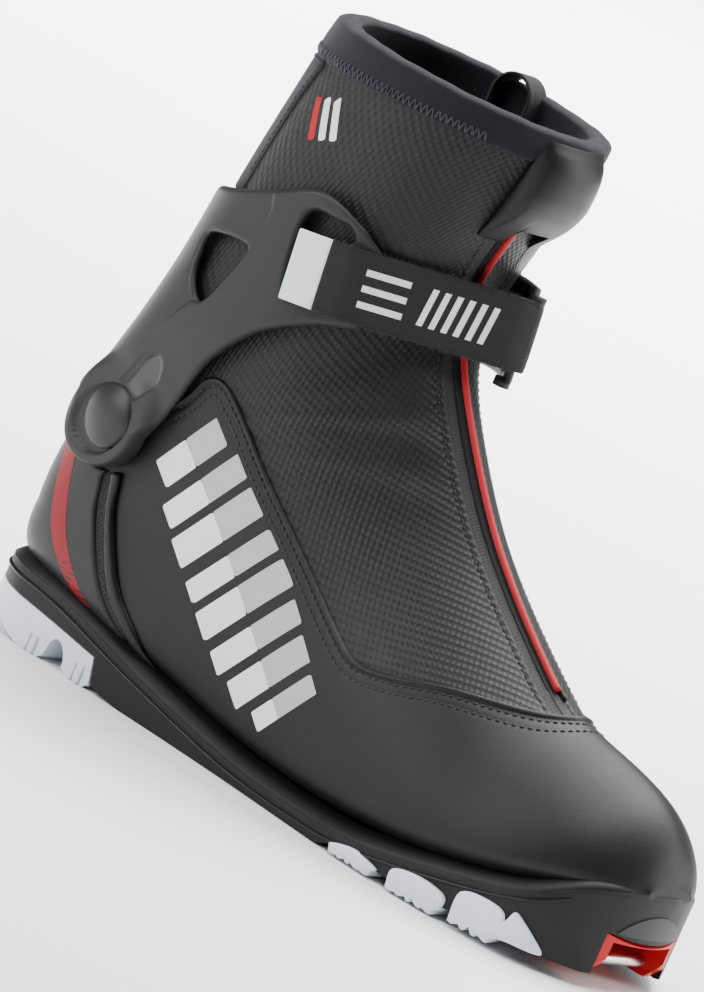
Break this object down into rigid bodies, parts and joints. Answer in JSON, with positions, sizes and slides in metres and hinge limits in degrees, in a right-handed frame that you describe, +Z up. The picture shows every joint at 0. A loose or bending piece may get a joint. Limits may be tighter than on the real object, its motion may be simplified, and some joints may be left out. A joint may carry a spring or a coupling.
{
  "type": "cross country ski boot",
  "caption": "Right cross country skate ski boot: zipped softshell upper, hinged ankle cuff with hook-and-loop strap, grooved sole and toe bar.",
  "frame": {"origin": "on the ground under the middle of the boot's overall box", "axes": "+X towards the toe, +Z up, -Y is the outer (lateral) side of this right boot"},
  "size_m": [0.2986, 0.1008, 0.249],
  "materials": {
    "black_sole": "matte moulded",
    "grey_plastic": "matte moulded",
    "red_plastic": "satin moulded",
    "steel": "brushed",
    "white_rubber": "matte moulded",
    "black_synthetic": "smooth matte coated synthetic",
    "softshell": "embossed woven softshell with a slight sheen",
    "board": "pressed fibre board",
    "footbed_foam": "textile covered foam",
    "fleece": "brushed lining",
    "lace_cord": "braided",
    "zip_tape": "coated tape",
    "zip_coil": "nylon coil",
    "red_piping": "satin",
    "dark_plastic": "satin moulded",
    "mesh": "knitted",
    "black_gloss": "satin",
    "red_tape": "printed film",
    "cuff_plastic": "satin moulded",
    "binding": "knitted stretch binding",
    "stretch_panel": "knitted stretch",
    "webbing": "woven webbing",
    "garage_rubber": "smooth matte",
    "white_tip": "moulded",
    "hook": "hook and loop",
    "zip_metal": "painted"
  },
  "bodies": {
    "root": {"outsole": "black_sole", "nose_insert": "grey_plastic", "toe_bar_housing": "red_plastic", "toe_bar": "steel", "forefoot_tread": "white_rubber", "heel_tread": "white_rubber", "vamp_toe": "black_synthetic", "vamp_lateral": "black_synthetic", "vamp_medial": "black_synthetic", "vamp_heel": "black_synthetic", "quarter_softshell": "softshell", "lasting_board": "board", "footbed": "footbed_foam", "liner_foot": "fleece", "laces": "lace_cord", "lace_eyelets": "steel", "zip_tape_lower": "zip_tape", "zip_coil_lower": "zip_coil", "zip_piping_lower": "red_piping", "heel_counter": "dark_plastic", "counter_slot_mesh": "mesh", "counter_lip": "black_gloss", "heel_accent_tape": "red_tape", "pivot_bosses": "dark_plastic", "pivot_pins": "steel", "ankle_flex_softshell": "softshell", "liner_ankle": "fleece", "zip_tape_ankle": "zip_tape", "tongue": "fleece"},
    "cuff": {"cuff": "cuff_plastic", "shaft_softshell_lateral": "softshell", "shaft_softshell_medial": "softshell", "liner_shaft": "fleece", "zip_tape_upper": "zip_tape", "zip_coil_upper": "zip_coil", "zip_piping_upper": "red_piping", "collar_binding": "binding", "collar_rear_panel": "stretch_panel", "pull_loop": "webbing", "zip_garage": "garage_rubber", "strap_base": "webbing", "strap_anchor_rivet": "steel", "pivot_cap_lateral": "cuff_plastic", "pivot_cap_medial": "cuff_plastic"},
    "strap_tail": {"strap_tail": "webbing", "strap_tip": "white_tip", "strap_hook_patch": "hook"},
    "zip_slider": {"zip_slider": "zip_metal"},
    "zip_pull": {"zip_pull": "zip_metal"}
  },
  "joints": [
    {"name": "cuff_pivot", "type": "hinge", "parent": "root", "child": "cuff", "pos_m": [-0.10948, 0.00063, 0.0885], "axis": [0, 1, 0], "range_deg": [-5, 15], "deforming": ["ankle_flex_softshell", "liner_ankle", "zip_tape_ankle", "tongue"]},
    {"name": "strap_peel", "type": "hinge", "parent": "cuff", "child": "strap_tail", "pos_m": [-0.00318, 0.01038, 0.17335], "axis": [-0.1219, 0, 0.9925], "range_deg": [0, 95]},
    {"name": "zip_slide", "type": "slide", "parent": "cuff", "child": "zip_slider", "axis": [-0.2971, 0, -0.9549], "range_m": [0, 0.024]},
    {"name": "zip_pull_swing", "type": "hinge", "parent": "zip_slider", "child": "zip_pull", "pos_m": [-0.00484, 0.00223, 0.22264], "axis": [0, -1, 0], "range_deg": [0, 10]}
  ]
}
